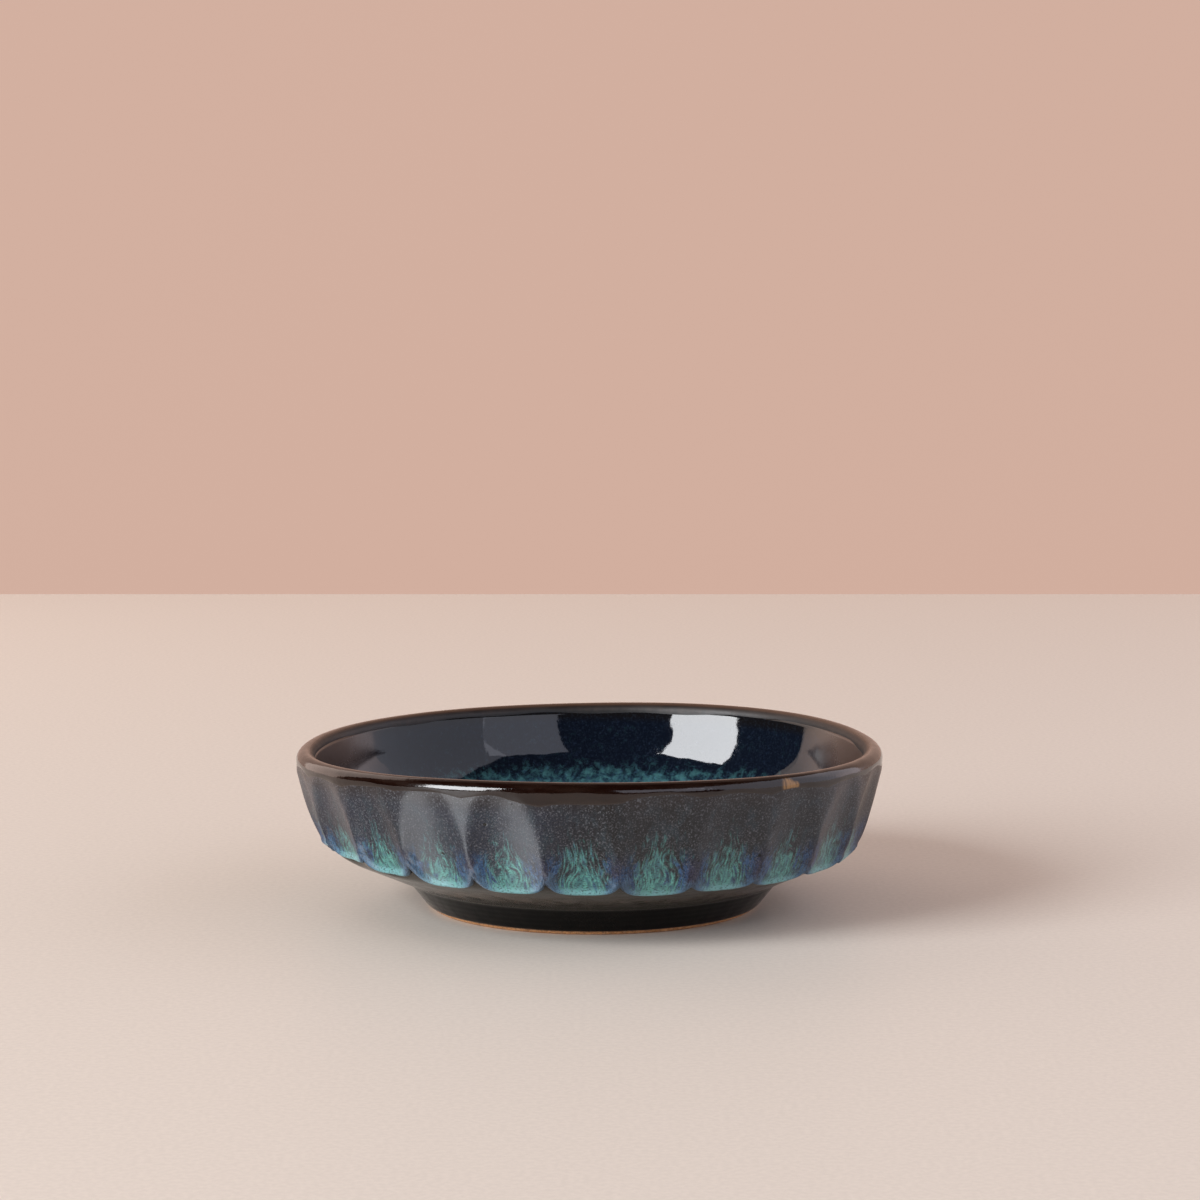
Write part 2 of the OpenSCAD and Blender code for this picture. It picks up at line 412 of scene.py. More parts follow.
def hand_made(turn, r, z):
    """Moves points as the maker's hand did: the rim's waves, and a slight lean of the wall."""
    high = soft_step(z, WAVE_FROM_Z, DISH_H) * soft_step(r, 0, CALM_R)
    lift = sum(c * np.cos(n * turn) + s * np.sin(n * turn) for n, c, s in RIM_WAVES)
    z = z + RIM_SHARE * high * lift
    r = r * (1 + high * (OVAL_5 * np.cos(5 * turn + 0.7) + OVAL_9 * np.cos(9 * turn + z / 5)))
    x = r * np.sin(turn) + LEAN_X * soft_step(z, LEAN_FROM_Z, LEAN_TO_Z)
    return np.stack([x, -r * np.cos(turn), z], 1)


def on_dish(turn, run, rise):
    """Points of the dish at a turn from the front, a run along the section and a rise above it."""
    r, z = at_run(LINE, run)
    nr, nz = at_run(NORMAL, run)
    rise = rise - flute_depth(turn, run)
    r = np.where(run > AXIS_RUN, r + nr * rise, 0)
    return hand_made(turn, r, z + nz * rise)


print("flute depth, mm:", [round(float(flute_depth(np.array([FLUTE_TURN]), np.array([s]))[0]), 2)
                           for s in (3, 5, 9, 13, 17)])

# %% [markdown]
# ## Laying a coat on the dish
#
# A coat is a thin closed skin that follows the wall. Drawing its section and spinning it would
# give a plain ring, but the drips need an edge that goes up and down. So each coat starts as a
# flat grid, like a label before it goes round a jar: its length is one turn of the dish, and its
# height is the coat's section, down the face and back up the rear. Then every point is laid on
# the dish by the formula above. The operator makes the faces, and the formula only moves the
# points.

# %% Laying helper
def lay_coat(name, rows, steps, lay):
    """Wraps a grid round the dish and lays it on as a closed skin.

    rows is a closed section of (share, side): share from 0 to 1 along the coat, side 1 on its face
    and 0 on its back. lay(turn, share, side) gives the points and a dictionary of attributes.
    """
    bm = bmesh.new()
    bmesh.ops.create_grid(bm, x_segments=steps, y_segments=len(rows), size=1)
    for face in bm.faces:
        face.smooth = True
    mesh = bpy.data.meshes.new(name)
    bm.to_mesh(mesh)
    bm.free()
    flat = np.empty(3 * len(mesh.vertices))
    mesh.vertices.foreach_get("co", flat)
    turn = flat[0::3] * math.pi
    row = np.round((flat[1::3] + 1) / 2 * len(rows)).astype(int) % len(rows)
    share, side = np.array(rows)[row].T
    points, marks = lay(turn, share, side)
    mesh.vertices.foreach_set("co", (points * MM).ravel())
    for key, values in marks.items():
        kind, part = ("FLOAT_VECTOR", "vector") if values.ndim == 2 else ("FLOAT", "value")
        layer = mesh.attributes.new(key, kind, "POINT")
        layer.data.foreach_set(part, values.astype(np.float32).ravel())
    return finish_mesh(name, mesh)


def finish_mesh(name, mesh):
    """Merges doubles, points the faces outwards, and makes the piece's object."""
    bm = bmesh.new()
    bm.from_mesh(mesh)
    bmesh.ops.remove_doubles(bm, verts=bm.verts, dist=1e-6)
    loose = [edge for edge in bm.edges if not edge.link_faces]
    bmesh.ops.delete(bm, geom=loose, context="EDGES")
    bmesh.ops.recalc_face_normals(bm, faces=bm.faces)
    bm.to_mesh(mesh)
    bm.free()
    made = bpy.data.objects.new(name, mesh)
    bpy.context.scene.collection.objects.link(made)
    print(f"{name}: {len(mesh.vertices)} points, {len(mesh.polygons)} faces")
    return made


def two_sided(shares, back_every=3):
    """Closed section of a coat: its face row by row, and its back with fewer rows."""
    back = list(shares[::-1][::back_every])
    if back[-1] != shares[0]:
        back.append(shares[0])
    return [(s, 1.0) for s in shares] + [(s, 0.0) for s in back]


FLOW_R = 46


def flow_place(turn, run):
    """Place on an upright cylinder, in millimetres, whose height is the run: streaks follow it."""
    return np.stack([FLOW_R * np.sin(turn), -FLOW_R * np.cos(turn), run], 1)


def join_dish(piece, finish, slot, *nodes):
    """Gives a piece its finish, puts it under the root body and hides its CAD nodes; slot is not
    used.
    """
    piece.data.materials.append(finish)
    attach(piece, "root")
    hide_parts(*nodes)


# %% [markdown]
# ## The drip line
#
# Where the flowing coat stopped, each flute has its own rounded drip, and a narrow notch is left
# over each ridge. The drips are half super-ellipses, which are blunter than circles. Drips and
# notches differ a little from flute to flute, as runny glaze does. The distance to this line is
# needed twice, for the thick roll along it and for its colours, so it is measured once here.

# %% The drip line
DRIP_BLUNT = 2.8
DRIP_RUN = run_at_z(9.45)
NOTCH_RUN = run_at_z(11.35)
drip_low = dice.uniform(-0.35, 0.35, FLUTES)
notch_high = dice.uniform(-0.5, 0.9, FLUTES)
FRONT_NOTCHES = {-5: -3.2, -4: -3.4, -3: -3.4, -2: -2.0, -1: -1.4, 0: -0.6, 1: 0.4, 2: 1.0}
FRONT_DRIPS = {-5: -2.4, -4: -2.2, -3: -1.5, -2: -0.5}
for found, placed in ((notch_high, FRONT_NOTCHES), (drip_low, FRONT_DRIPS)):
    for number, fall in placed.items():
        found[number % FLUTES] = fall


def drip_run(turn):
    """Run at which the flowing coat ends."""
    number, across = flute_of(turn)
    ridge = np.where(across > 0, number, number - 1) % FLUTES
    top = NOTCH_RUN + notch_high[ridge]
    low = DRIP_RUN + drip_low[number]
    shape = (1 - np.clip(np.abs(across), 0, 1) ** DRIP_BLUNT) ** (1 / DRIP_BLUNT)
    return top + (low - top) * shape


SEARCH, SEARCH_STEP, FAR = 150, 3, 99.0
edge_turn = np.linspace(-math.pi, math.pi, FLUTES * 240 + 1)[:-1]
edge_run = drip_run(edge_turn)


def drip_distance(turn, run):
    """Distance in mm from points on the coat up to the drip line."""
    r = at_run(LINE, run)[0]
    here = np.round((turn + math.pi) / (2 * math.pi) * len(edge_turn)).astype(int)
    best = np.full(len(turn), FAR)
    for offset in range(-SEARCH, SEARCH + 1, SEARCH_STEP):
        other = (here + offset) % len(edge_turn)
        gap = np.angle(np.exp(1j * (edge_turn[other] - turn))) * r
        best = np.minimum(best, np.hypot(gap, edge_run[other] - run))
    return np.where(run <= drip_run(turn), best, 0)


print(f"drips end {DRIP_RUN:.1f} mm down the section, notches at {NOTCH_RUN:.1f} mm")

# %% [markdown]
# ## The flowing coat
#
# It is 0.4 mm thick on the wall, thins out to nothing at its very edge and swells into a roll
# just above it, where the melt gathered. Its upper edge goes up under the rim band.

# %% Flowing coat
COAT_T = 0.4
TAPER_W = 0.55
ROLL_T, ROLL_AT, ROLL_W = 0.34, 0.75, 0.5
FLOW_TOP_RUN = 2.6
FAN, FAN_FROM, FAN_TO = 0.09, 11, 19
EARLY_FLUTES, EARLY = slice(0, 2), 0.05
flute_chance = dice.uniform(0, 1, FLUTES)
flute_chance[EARLY_FLUTES] = EARLY


def flow_rise(edge):
    """Height of the coat's face above the plain section at a distance from its edge."""
    near = np.clip(edge / TAPER_W, 0, 1)
    body = COAT_T * np.sqrt(1 - (1 - near) ** 2)
    return body - COAT_T + ROLL_T * near * np.exp(-((edge - ROLL_AT) / ROLL_W) ** 2)


def lay_flow(turn, share, side):
    end = drip_run(turn)
    run = FLOW_TOP_RUN + (end - FLOW_TOP_RUN) * share
    edge = drip_distance(turn, run)
    rise = np.where(side > 0.5, flow_rise(edge), -COAT_T - 0.02)
    number, across = flute_of(turn)
    fan = FAN * np.sin(math.pi * across) * PITCH * soft_step(run, FAN_FROM, FAN_TO)
    marks = {"flow": flow_place(turn - fan, run), "edge": edge, "across": np.abs(across),
             "chance": flute_chance[number]}
    return on_dish(turn, run, rise), marks


flow_shares = 1 - (1 - np.linspace(0, 1, 74)) ** 1.35
flow_coat = lay_coat("flowing_coat", two_sided(flow_shares), FLUTES * 28, lay_flow)

# %% [markdown]
# ## The dark base coat
#
# Under the flowing coat lies a black-brown one, which shows in the notches, on the cone under the
# drips and on the foot. It runs down the wall, turns in the crease and goes on over the foot's
# sloping face to the bare line. The section goes on past the dish's own line, so its last rows
# are laid along the foot instead.

# %% Base coat
BASE_T = 0.3
FOOT_OUT_R, CREASE_Z, BARE_H = 28.1, 4.9, 0.5
FOOT_LEAN = math.atan2(CREASE_R - FOOT_OUT_R, CREASE_Z)
BEND_POINTS, BEND_WIDTH = 15, 1.2
WHEEL_MARK = 0.008
BASE_TOP_RUN = 2.8


def foot_face_line(height):
    """Radius of the foot's finished outer face at a height."""
    return FOOT_OUT_R + height * math.tan(FOOT_LEAN)


upper = np.arange(BASE_TOP_RUN, CREASE_RUN, 0.1)
base_line = np.stack(at_run(LINE, upper), 1) - COAT_T * np.stack(at_run(NORMAL, upper), 1)
base_line = base_line[base_line[:, 0] > foot_face_line(base_line[:, 1])]
foot_heights = np.linspace(base_line[-1, 1] - 0.05, BARE_H, 44)
foot_line = np.stack([foot_face_line(foot_heights), foot_heights], 1)
BASE_LINE = np.concatenate([base_line, foot_line])
BASE_RUN = np.r_[0, np.cumsum(np.hypot(*np.diff(BASE_LINE, axis=0).T))] + BASE_TOP_RUN
BEND_RUN = BASE_RUN[len(base_line)]
weight = np.exp(-((BASE_RUN - BEND_RUN) / BEND_WIDTH) ** 2)[:, None]
BASE_LINE = BASE_LINE * (1 - weight) + smoothed(BASE_LINE, BEND_POINTS) * weight
base_slope = np.gradient(BASE_LINE, axis=0)
base_slope /= np.linalg.norm(base_slope, axis=1)[:, None]
BASE_NORMAL = np.stack([-base_slope[:, 1], base_slope[:, 0]], 1)
print(f"crease at r {BASE_LINE[len(base_line), 0]:.1f}, z {BASE_LINE[len(base_line), 1]:.1f} mm")


def lay_base(turn, share, side):
    run = BASE_TOP_RUN + (BASE_RUN[-1] - BASE_TOP_RUN) * share
    r, z = (np.interp(run, BASE_RUN, BASE_LINE[:, i]) for i in (0, 1))
    nr, nz = (np.interp(run, BASE_RUN, BASE_NORMAL[:, i]) for i in (0, 1))
    left = BASE_RUN[-1] - run
    foot = soft_step(run, BEND_RUN - 1, BEND_RUN + 0.5)
    wheel = WHEEL_MARK * foot * np.sin(run * 5.2 + 0.6 * np.sin(2 * turn))
    tip = np.sqrt(1 - (1 - np.clip(left / 0.5, 0, 1)) ** 2)
    face = BASE_T * (tip - 1) + wheel * soft_step(left, 0.0, 1.2)
    rise = np.where(side > 0.5, face, -BASE_T - 0.01)
    rise = rise - flute_depth(turn, np.minimum(run, CREASE_RUN)) * (1 - foot)
    marks = {"flow": flow_place(turn, run), "edge": left}
    return hand_made(turn, r + nr * rise, z + nz * rise), marks


base_shares = np.r_[np.linspace(0, 0.45, 16)[:-1], np.linspace(0.45, 1, 84)]
base_coat = lay_coat("base_coat_dark", two_sided(base_shares), FLUTES * 16, lay_base)

# %% [markdown]
# ## The rim band
#
# The brown glaze was brushed over the lip last. It is thin on the crest, where it pulled back
# while melting, and its lower edge wanders: it reaches lower over the ridges than over the
# flutes, and lowest in front, where it sags for a short way.

# %% Rim band
RIM_IN_RUN, RIM_OUT_RUN = -2.6, 3.7
RIM_PROUD, RIM_SUNK = 0.035, 0.03
RIM_SCALLOP = 0.55
SAG, SAG_AT, SAG_W = 0.95, -0.08, 0.20


def rim_edges(turn):
    """Inner and outer run of the rim band."""
    number, across = flute_of(turn)
    wander = 0.16 * np.cos(7 * turn + 1) + 0.12 * np.cos(13 * turn) + 0.08 * np.cos(31 * turn)
    outer = RIM_OUT_RUN + wander - RIM_SCALLOP * (1 - np.abs(across) ** 2.5)
    outer += SAG * np.exp(-((turn - SAG_AT) / SAG_W) ** 6)
    inner = RIM_IN_RUN + 0.3 * np.cos(5 * turn + 2) + 0.15 * np.cos(17 * turn)
    return inner, outer


def lay_rim(turn, share, side):
    inner, outer = rim_edges(turn)
    run = inner + (outer - inner) * share
    edge_in, edge_out = run - inner, outer - run
    face = RIM_PROUD * soft_step(edge_out, -0.02, 0.5) * soft_step(edge_in, -0.02, 1.2)
    face -= RIM_SUNK * (2 - soft_step(edge_out, 0, 0.25) - soft_step(edge_in, 0, 0.6))
    rise = np.where(side > 0.5, face, -COAT_T)
    marks = {"flow": flow_place(turn, run), "edge": edge_out, "edge_in": edge_in, "crest": run}
    return on_dish(turn, run, rise), marks


rim_shares = (1 - np.cos(np.linspace(0, math.pi, 44))) / 2
rim_band = lay_coat("rim_band_brown", two_sided(rim_shares), FLUTES * 24, lay_rim)

# %% [markdown]
# ## The inside coats
#
# The navy coat covers the whole inside. Over it, a second coat was poured into the well and fired
# teal. Its upper edge is ragged, and so thin there that only its colour shows.

# %% Navy coat
INNER_T = 0.4
INNER_TOP_RUN = -2.2
WELL_T = 0.4
WELL_SUNK = 0.02
WELL_TOP_RUN = run_at_z(17.6, outside_line=False)


def thrown(turn, run):
    """Faint rings that the fingers left inside, and the sag of the glaze."""
    return 0.018 * np.sin(run * 0.9 + 0.5 * np.sin(turn)) + 0.02 * np.cos(3 * turn + run / 7)


def lay_inner(turn, share, side):
    run = AXIS_RUN + (INNER_TOP_RUN - AXIS_RUN) * share
    ease_in = soft_step(run, AXIS_RUN, AXIS_RUN + 6)
    rise = np.where(side > 0.5, thrown(turn, run) * ease_in, -INNER_T)
    return on_dish(turn, run, rise), {"flow": flow_place(turn, run), "crest": run}


inner_shares = np.r_[np.linspace(0, 0.45, 14)[:-1], np.linspace(0.45, 1, 64)]
inner_coat = lay_coat("inner_coat_navy", two_sided(inner_shares), 384, lay_inner)

# %% Well coat
def well_top(turn):
    """Run of the well coat's ragged upper edge."""
    return (WELL_TOP_RUN + 0.5 * np.cos(4 * turn + 0.5) + 0.35 * np.cos(9 * turn + 2)
            + 0.25 * np.cos(23 * turn) + 0.12 * np.cos(61 * turn + 1))


def lay_well(turn, share, side):
    top = well_top(turn)
    run = AXIS_RUN + (top - AXIS_RUN) * share
    thick = WELL_T * soft_step(top - run, -1, 14) - WELL_SUNK
    ease_in = soft_step(run, AXIS_RUN, AXIS_RUN + 6)
    rise = np.where(side > 0.5, thick, -0.06) + thrown(turn, run) * ease_in
    return on_dish(turn, run, rise), {"flow": flow_place(turn, run), "edge": top - run}


well_shares = np.r_[np.linspace(0, 0.4, 10)[:-1], np.linspace(0.4, 1, 56)]
well_coat = lay_coat("well_coat_teal", two_sided(well_shares), 384, lay_well)

# %% [markdown]
# ## The clay under the glaze
#
# None of the clay bowl shows, but the dish would be hollow without it. It is laid the same way,
# just under the coats, from the middle of the well over the lip to the seat of the foot.

# %% Clay bowl
CLAY_DEEP = COAT_T + BASE_T
SEAT_UNDER_Z = 3.62


def clay_rise(run):
    """Depth of the clay under the finished surface: deeper outside than under the rim band."""
    return -INNER_T - (CLAY_DEEP - INNER_T) * soft_step(run, 2.2, 2.8) - 0.02


def lay_clay(turn, share, side):
    end = CREASE_RUN - 1.2
    run = np.where(side > 0.5, AXIS_RUN + (end - AXIS_RUN) * share, AXIS_RUN)
    points = on_dish(turn, run, clay_rise(run))
    seat = side < 0.5
    r = (CREASE_R - 1.5) * share[seat]
    flat = np.full(r.shape, SEAT_UNDER_Z)
    points[seat] = np.stack([r * np.sin(turn[seat]), -r * np.cos(turn[seat]), flat], 1)
    return points, {"flow": flow_place(turn, run)}


clay_rows = [(s, 1.0) for s in np.linspace(0, 1, 150)] + [(s, 0.0) for s in (1.0, 0.66, 0.33, 0.0)]
clay_bowl = lay_coat("clay_bowl_body", clay_rows, FLUTES * 12, lay_clay)

# %% [markdown]
# ## The foot ring and the hollow inside it
#
# The foot stays bare where it touches the table, so the buff clay shows as a thin line. It was
# turned on the wheel, which leaves slightly rounded edges. The section starts as a few points,
# its corners are rounded with the bevel operator, and then it is spun.

# %% Foot ring
FOOT_IN_R = 24.5
RECESS_LEAN = math.radians(12)
RECESS_Z, RECESS_T = 3.6, 0.3
TOE = 0.45
SEAT_Z = RECESS_Z + 0.6


def spun_section(name, corners, rounds, steps):
    """Rounds the corners of a closed section, refines it, and spins it round the axis."""
    bm = bmesh.new()
    ring = [bm.verts.new((r * MM, 0, z * MM)) for r, z in corners]
    for first, second in zip(ring, ring[1:] + ring[:1]):
        bm.edges.new((first, second))
    for index, radius in rounds.items():
        bmesh.ops.bevel(bm, geom=[ring[index]], affect="VERTICES", offset=radius * MM, segments=5,
                        profile=0.5, material=-1, offset_type="OFFSET")
    long_edges = [e for e in bm.edges if e.calc_length() > 0.9 * MM]
    bmesh.ops.subdivide_edges(bm, edges=long_edges, cuts=9)
    bmesh.ops.spin(bm, geom=bm.verts[:] + bm.edges[:], cent=(0, 0, 0), axis=(0, 0, 1),
                   angle=2 * math.pi, steps=steps, use_merge=True)
    for face in bm.faces:
        face.smooth = True
    mesh = bpy.data.meshes.new(name)
    bm.to_mesh(mesh)
    bm.free()
    return finish_mesh(name, mesh)


def recess_r(z, coat):
    """Radius of the hollow's wall at a height, under a coat."""
    return FOOT_IN_R - z * math.tan(RECESS_LEAN) - coat / math.cos(RECESS_LEAN)


under_glaze = BASE_T / math.cos(FOOT_LEAN)
foot_corners = [
    (FOOT_OUT_R - 0.25, 0.0),
    (foot_face_line(BARE_H) - under_glaze, BARE_H),
    (foot_face_line(SEAT_Z) - under_glaze, SEAT_Z),
    (recess_r(SEAT_Z, 0), SEAT_Z),
    (FOOT_IN_R, 0.0),
]
foot_ring = spun_section("foot_ring_turned", foot_corners, {0: TOE, 4: TOE}, 256)

# %% Coat inside the foot
recess_corners = [
    (0.0, RECESS_Z - RECESS_T),
    (recess_r(RECESS_Z - RECESS_T, RECESS_T), RECESS_Z - RECESS_T),
    (recess_r(BARE_H + 0.1, RECESS_T), BARE_H + 0.1),
    (recess_r(BARE_H, 0) + 0.02, BARE_H),
    (recess_r(RECESS_Z, 0) + 0.02, RECESS_Z + 0.02),
    (0.0, RECESS_Z + 0.02),
]
recess_coat = spun_section("recess_coat_dark", recess_corners, {1: 1.2}, 192)

# %% [markdown]
# ## Effects that the glazes share
#
# Four effects come back in several glazes, so each is a node group with named sockets: fine
# speckle, pinholes where gas left the melt, streaks that follow the flow, and the slow swell that
# bends reflections in every fired glaze. They read a place in millimetres.

# %% Node groups
def new_group(name, inputs, outputs):
    """Empty shader node group with named sockets. Inputs give a kind and a default."""
    group = bpy.data.node_groups.new(name, "ShaderNodeTree")
    for label, (kind, value) in inputs.items():
        socket = group.interface.new_socket(label, in_out="INPUT", socket_type="NodeSocket" + kind)
        if value is not None:
            socket.default_value = value
    for label in outputs:
        group.interface.new_socket(label, in_out="OUTPUT", socket_type="NodeSocketFloat")
    entry = group.nodes.new("NodeGroupInput").outputs
    leave = group.nodes.new("NodeGroupOutput").inputs
    return group, entry, leave


def spot_at(tree, place, turn, run, size):
    """Mask of a round spot on the wall, at a turn in degrees from the front and a run."""
    a = math.radians(turn)
    middle = (FLOW_R * math.sin(a), -FLOW_R * math.cos(a), run)
    gap = put(tree, "VectorMath", {0: place, 1: middle}, operation="DISTANCE").outputs["Value"]
    return ease(tree, gap, 0.6 * size, 1.25 * size, 1, 0)


def use(tree, group, **sockets):
    """Places a group in a material with its own values, and returns its outputs."""
    return put(tree, "Group", sockets, node_tree=group).outputs


speckle, entry, leave = new_group(
    "glaze_speckle", {"Place": ("Vector", None), "Scale": ("Float", 3.0)}, ["Light", "Dark"])
first = grain(speckle, entry["Place"], entry["Scale"], 2, 0.7)
elsewhere = stretch(speckle, entry["Place"], (1.3, 1.3, 1.3), (7, 3, 5))
second = grain(speckle, elsewhere, entry["Scale"], 1, 0.6)
speckle.links.new(ease(speckle, first, 0.50, 0.70), leave["Light"])
speckle.links.new(ease(speckle, second, 0.52, 0.70), leave["Dark"])

pinholes, entry, leave = new_group(
    "glaze_pinholes", {"Place": ("Vector", None), "Spacing": ("Float", 0.14),
                       "Radius": ("Float", 0.035)}, ["Hole"])
cells = put(pinholes, "TexVoronoi", {"Vector": entry["Place"], "Scale": entry["Spacing"],
                                     "Randomness": 1.0})
pick = put(pinholes, "SeparateColor", {0: cells.outputs["Color"]}).outputs[0]
size = sum_of(pinholes, "MULTIPLY", entry["Radius"], ease(pinholes, pick, 0.45, 0.95))
inner = sum_of(pinholes, "SUBTRACT", size, cells.outputs["Distance"])
pinholes.links.new(ease(pinholes, inner, -0.004, 0.008), leave["Hole"])

streaks, entry, leave = new_group(
    "glaze_streaks", {"Place": ("Vector", None), "Fineness": ("Float", 2.0)}, ["Hair", "Lock"])
wavy = put(streaks, "TexNoise", {"Vector": stretch(streaks, entry["Place"], (1, 1, 0.5)),
                                 "Scale": 0.35, "Detail": 1.0})
sway = put(streaks, "VectorMath", {0: wavy.outputs["Color"], 1: (0.5, 0.5, 0.5)},
           operation="SUBTRACT").outputs[0]
sway = put(streaks, "VectorMath", {0: sway, 1: (2.4, 2.4, 0)}, operation="MULTIPLY").outputs[0]
swayed = put(streaks, "VectorMath", {0: entry["Place"], 1: sway}, operation="ADD").outputs[0]
hair = grain(streaks, stretch(streaks, swayed, (1, 1, 0.085)), entry["Fineness"], 3, 0.6)
lock = grain(streaks, stretch(streaks, swayed, (0.42, 0.42, 0.09)), entry["Fineness"], 2, 0.5)
streaks.links.new(hair, leave["Hair"])
streaks.links.new(lock, leave["Lock"])

swell, entry, leave = new_group(
    "glaze_swell", {"Place": ("Vector", None), "Fine": ("Float", 0.1)}, ["Height"])
wide = grain(swell, entry["Place"], 0.22, 1, 0.5)
peel = grain(swell, entry["Place"], 1.7, 2, 0.5)
swell.links.new(sum_of(swell, "MULTIPLY_ADD", peel, entry["Fine"], wide), leave["Height"])
print("groups:", [g.name for g in bpy.data.node_groups])

# %% [markdown]
# ## The flowing glaze
#
# This is the finish that makes the dish. On the wall it is a speckled satin grey with slow changes
# of tone. It is painted lighter and bluish to the left and darker and neutral to the right, as
# painted light and shade. Lower down the melt ran off the ridges into the flutes: streaks fine as
# hair start in the middle of each flute and fan out in teal, with blue and violet left over the
# ridges. A pale turquoise line follows the drips, where the coat is thickest.

# %% Grey body of the flowing glaze
flow_finish, tree, shader = new_finish(
    "flowing_glaze", Roughness=0.5, IOR=1.6, Anisotropic=1.0, Anisotropic_Rotation=0.25)
place = own(tree, "flow")["Vector"]
edge = own(tree, "edge")["Fac"]
across = own(tree, "across")["Fac"]
chance = own(tree, "chance")["Fac"]
where = put(tree, "SeparateXYZ", {0: place}).outputs
run = where["Z"]

SLATE, IRON_GREY, SEA_GREY = (0.019, 0.023, 0.036), (0.011, 0.011, 0.012), (0.020, 0.036, 0.048)
LIP_BROWN = (0.020, 0.013, 0.010)
slow = grain(tree, stretch(tree, place, (0.05, 0.05, 0.11)), 1.0, 3)
# Painted light and shade: lighter bluish slate on the left, darker iron grey on the right, mixed
# with slow real tone.
shade_to_right = ease(tree, where["X"], -14, 14)
shade_and_tone = sum_of(tree, "MULTIPLY_ADD", shade_to_right, 0.6, sum_of(tree, "SUBTRACT", slow, 0.25))
body = blend(tree, ease(tree, shade_and_tone, 0.15, 0.85), SLATE, IRON_GREY)
cloud = grain(tree, stretch(tree, place, (0.5, 0.5, 0.25), (4, 9, 2)), 1.0, 4, 0.6)
body = blend(tree, ease(tree, cloud, 0.45, 0.68, 0, 0.6), body, SEA_GREY)
near_lip = ease(tree, sum_of(tree, "MULTIPLY_ADD", slow, 3, run), 4.6, 8.0, 0.7, 0)
body = blend(tree, near_lip, body, LIP_BROWN)

# %% Teal plumes
DEEP_TEAL, TEAL, BLUE_TEAL = (0.036, 0.120, 0.130), (0.095, 0.300, 0.265), (0.040, 0.095, 0.140)
PLUME_RUN, PLUME_SCATTER, PLUME_ARCH, PLUME_LENGTH = 10.0, 2.2, 5.8, 6.0
hairs = use(tree, streaks, Place=place, Fineness=3.8)
hair = sum_of(tree, "SUBTRACT", hairs["Hair"], 0.5)
lock = sum_of(tree, "SUBTRACT", hairs["Lock"], 0.5)
spread = sum_of(tree, "MULTIPLY", sum_of(tree, "POWER", across, 1.4), PLUME_ARCH)
start = sum_of(tree, "ADD", PLUME_RUN, sum_of(tree, "MULTIPLY_ADD", chance, PLUME_SCATTER, spread))
fallen = sum_of(tree, "DIVIDE", sum_of(tree, "SUBTRACT", run, start), PLUME_LENGTH)
tips = sum_of(tree, "MULTIPLY_ADD", lock, 2.8, sum_of(tree, "MULTIPLY_ADD", hair, 2.8, fallen))
plume = ease(tree, tips, 0.0, 1.25)
teal = blend(tree, ease(tree, hairs["Hair"], 0.36, 0.66), DEEP_TEAL, TEAL)
teal = blend(tree, ease(tree, hairs["Lock"], 0.50, 0.68, 0, 0.6), teal, BLUE_TEAL)
colour = blend(tree, plume, body, teal)

# %% Blue ridges and the pale edge
INK, BLUE = (0.009, 0.017, 0.046), (0.032, 0.088, 0.195)
DARK_VIOLET, VIOLET = (0.012, 0.011, 0.024), (0.036, 0.036, 0.068)
TURQUOISE, PALE_BLUE, EDGE_THIN_AND_SHADE = (0.150, 0.350, 0.370), (0.085, 0.175, 0.270), (0.008,) * 3
low_down = ease(tree, run, 11.6, 16.0)
lace = grain(tree, stretch(tree, place, (1, 1, 0.7), (2, 5, 1)), 1.3, 4, 0.7, 1.2)
to_ridge = ease(tree, sum_of(tree, "MULTIPLY_ADD", lock, 1.6, across), 0.40, 0.76)
blue = blend(tree, ease(tree, lace, 0.38, 0.62), INK, BLUE)
violet = blend(tree, ease(tree, lace, 0.40, 0.60), DARK_VIOLET, VIOLET)
cloudy = sum_of(tree, "SUBTRACT", cloud, 0.5)
to_violet = ease(tree, sum_of(tree, "MULTIPLY_ADD", cloudy, 0.9, across), 0.74, 0.98)
colour = tinged(tree, colour, low_down, to_ridge, blend(tree, to_violet, blue, violet))
pale_wide = sum_of(tree, "MULTIPLY_ADD", lace, -1.6, sum_of(tree, "MULTIPLY_ADD", hair, 2.4, edge))
pale = ease(tree, pale_wide, 0.0, 1.3, 0.95, 0)
pale = sum_of(tree, "MULTIPLY", pale, ease(tree, across, 0.6, 0.98, 1, 0.4))
pale_tint = blend(tree, ease(tree, across, 0.35, 0.8), TURQUOISE, PALE_BLUE)
colour = tinged(tree, colour, pale, low_down, pale_tint)
# The very edge of the drips turns black: partly the thin glaze there, partly painted shade under
# the rolled bead.
colour = blend(tree, ease(tree, edge, 0.06, 0.22, 0.95, 0), colour, EDGE_THIN_AND_SHADE)

# %% Speckle, pinholes and gloss
PLACED_HOLES = ((-19.8, 8.1), (8.7, 8.8), (37.5, 9.3), (38.0, 13.6), (35.3, 14.2), (21.8, 14.2),
                (-30.7, 14.0))
HOLE_R = 0.3
dots = use(tree, speckle, Place=place, Scale=3.6)
calm = ease(tree, plume, 0, 1, 1, 0.3)
light_share = sum_of(tree, "MULTIPLY", calm, 0.8)
colour = tinged(tree, colour, dots["Light"], light_share, (0.100, 0.106, 0.122))
colour = tinged(tree, colour, dots["Dark"], 0.7, (0.005, 0.005, 0.006))
holes = use(tree, pinholes, Place=place, Spacing=0.12, Radius=0.03)["Hole"]
for turn, down in PLACED_HOLES:
    holes = sum_of(tree, "MAXIMUM", holes, spot_at(tree, place, turn, down, HOLE_R))
colour = blend(tree, holes, colour, (0.004, 0.004, 0.003))
tree.links.new(colour, shader.inputs["Base Color"])
